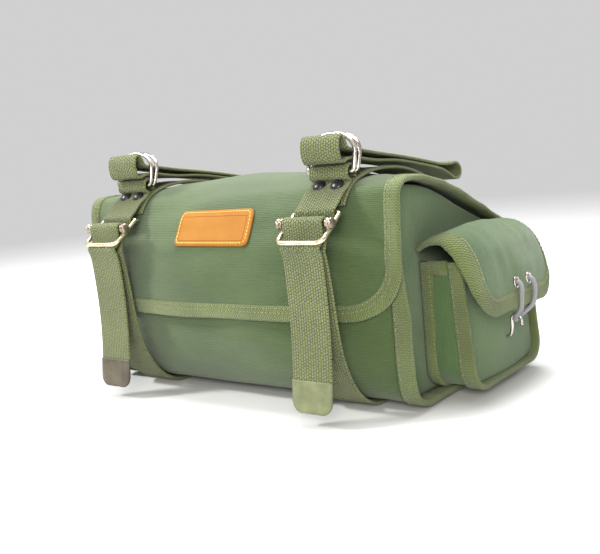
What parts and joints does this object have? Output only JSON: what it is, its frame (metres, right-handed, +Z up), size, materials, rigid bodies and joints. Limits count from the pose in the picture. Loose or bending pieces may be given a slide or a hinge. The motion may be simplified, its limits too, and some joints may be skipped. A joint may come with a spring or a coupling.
{
  "type": "bicycle saddle bag",
  "caption": "Canvas saddle bag: barrel-shaped body with a full-width front flap, bound edges, end pockets, and webbing straps with slide buckles, rings and hanging loops.",
  "frame": {"origin": "centre of the whole bag's footprint, at the level it stands on", "axes": "+Z up, +X across the bag towards its right-hand end as seen facing the flap, -Y out of the flap's face, away from the bicycle's seat post side"},
  "size_m": [0.3636, 0.2076, 0.1796],
  "materials": {
    "canvas": "matte ribbed cotton canvas",
    "binding_tape": "matte cotton twill",
    "webbing": "matte cotton herringbone webbing",
    "leather": "smooth orange-tan leather with an embossed border",
    "pale_brass": "polished pale brass plating",
    "nickel": "polished nickel plating",
    "black_metal": "gloss black",
    "vinyl_tip": "satin vinyl",
    "elastic": "woven-covered elastic cord, matte",
    "base_board": "matte",
    "thread": "matte sewing thread"
  },
  "bodies": {
    "bag_body": {"main_wrap": "canvas", "mouth_binding": "binding_tape", "base_board": "base_board", "body_binding_right": "binding_tape", "end_panel_right": "canvas", "pocket_back_binding_right": "binding_tape", "pocket_gusset_right": "canvas", "pocket_front_binding_right": "binding_tape", "pocket_face_right": "canvas", "pocket_flap_hinge_right": "canvas", "pocket_hook_right": "nickel", "girth_strap_right": "webbing", "body_binding_left": "binding_tape", "end_panel_left": "canvas", "pocket_back_binding_left": "binding_tape", "pocket_gusset_left": "canvas", "pocket_front_binding_left": "binding_tape", "pocket_face_left": "canvas", "pocket_flap_hinge_left": "canvas", "pocket_hook_left": "nickel", "girth_strap_left": "webbing"},
    "main_flap": {"flap": "canvas", "flap_binding": "binding_tape", "label_patch": "leather", "top_band_right": "webbing", "link_strap_right": "webbing", "link_loop_right": "webbing", "rivet_outer_right": "black_metal", "rivet_inner_right": "black_metal", "top_band_left": "webbing", "link_strap_left": "webbing", "link_loop_left": "webbing", "rivet_outer_left": "black_metal", "rivet_inner_left": "black_metal"},
    "buckle_right": {"buckle_frame_right": "pale_brass"},
    "slider_right": {"slide_bar_right": "pale_brass", "webbing_roll_right": "webbing"},
    "tail_right": {"strap_tail_right": "webbing", "tail_tip_right": "vinyl_tip"},
    "hanger_right": {"d_ring_front_right": "nickel", "d_ring_back_right": "nickel", "hanger_strap_right": "webbing"},
    "pocket_lid_right": {"pocket_flap_right": "canvas", "pocket_flap_binding_right": "binding_tape", "pocket_eyelet_front_right": "nickel", "pocket_eyelet_back_right": "nickel", "pocket_elastic_right": "elastic"},
    "buckle_left": {"buckle_frame_left": "pale_brass"},
    "slider_left": {"slide_bar_left": "pale_brass", "webbing_roll_left": "webbing"},
    "tail_left": {"strap_tail_left": "webbing", "tail_tip_left": "vinyl_tip"},
    "hanger_left": {"d_ring_front_left": "nickel", "d_ring_back_left": "nickel", "hanger_strap_left": "webbing"},
    "pocket_lid_left": {"pocket_flap_left": "canvas", "pocket_flap_binding_left": "binding_tape", "pocket_eyelet_front_left": "nickel", "pocket_eyelet_back_left": "nickel", "pocket_elastic_left": "elastic"}
  },
  "joints": [
    {"name": "flap_hinge", "type": "hinge", "parent": "bag_body", "child": "main_flap", "pos_m": [0, 0.09648, 0.093], "axis": [-1, 0, 0], "range_deg": [0, 105]},
    {"name": "buckle_swing_right", "type": "hinge", "parent": "main_flap", "child": "buckle_right", "pos_m": [0.092, -0.07902, 0.1305], "axis": [-1, 0, 0], "range_deg": [0, 40]},
    {"name": "slider_slide_right", "type": "slide", "parent": "buckle_right", "child": "slider_right", "axis": [0, 0.8112, 0.5848], "range_m": [0, 0.004]},
    {"name": "tail_swing_right", "type": "hinge", "parent": "buckle_right", "child": "tail_right", "pos_m": [0.092, -0.09722, 0.108], "axis": [-1, 0, 0], "range_deg": [0, 60]},
    {"name": "hanger_swing_right", "type": "hinge", "parent": "main_flap", "child": "hanger_right", "pos_m": [0.092, -0.05907, 0.154], "axis": [1, 0, 0], "range_deg": [0, 35]},
    {"name": "pocket_fold_right", "type": "hinge", "parent": "bag_body", "child": "pocket_lid_right", "pos_m": [0.1512, 0.02498, 0.1118], "axis": [0, -1, 0], "range_deg": [0, 85], "deforming": ["pocket_elastic_right"]},
    {"name": "buckle_swing_left", "type": "hinge", "parent": "main_flap", "child": "buckle_left", "pos_m": [-0.092, -0.07902, 0.1305], "axis": [-1, 0, 0], "range_deg": [0, 40]},
    {"name": "slider_slide_left", "type": "slide", "parent": "buckle_left", "child": "slider_left", "axis": [0, 0.8112, 0.5848], "range_m": [0, 0.004]},
    {"name": "tail_swing_left", "type": "hinge", "parent": "buckle_left", "child": "tail_left", "pos_m": [-0.092, -0.09722, 0.108], "axis": [-1, 0, 0], "range_deg": [0, 60]},
    {"name": "hanger_swing_left", "type": "hinge", "parent": "main_flap", "child": "hanger_left", "pos_m": [-0.092, -0.05907, 0.154], "axis": [1, 0, 0], "range_deg": [0, 35]},
    {"name": "pocket_fold_left", "type": "hinge", "parent": "bag_body", "child": "pocket_lid_left", "pos_m": [-0.1512, 0.02498, 0.1118], "axis": [0, 1, 0], "range_deg": [0, 85], "deforming": ["pocket_elastic_left"]}
  ]
}
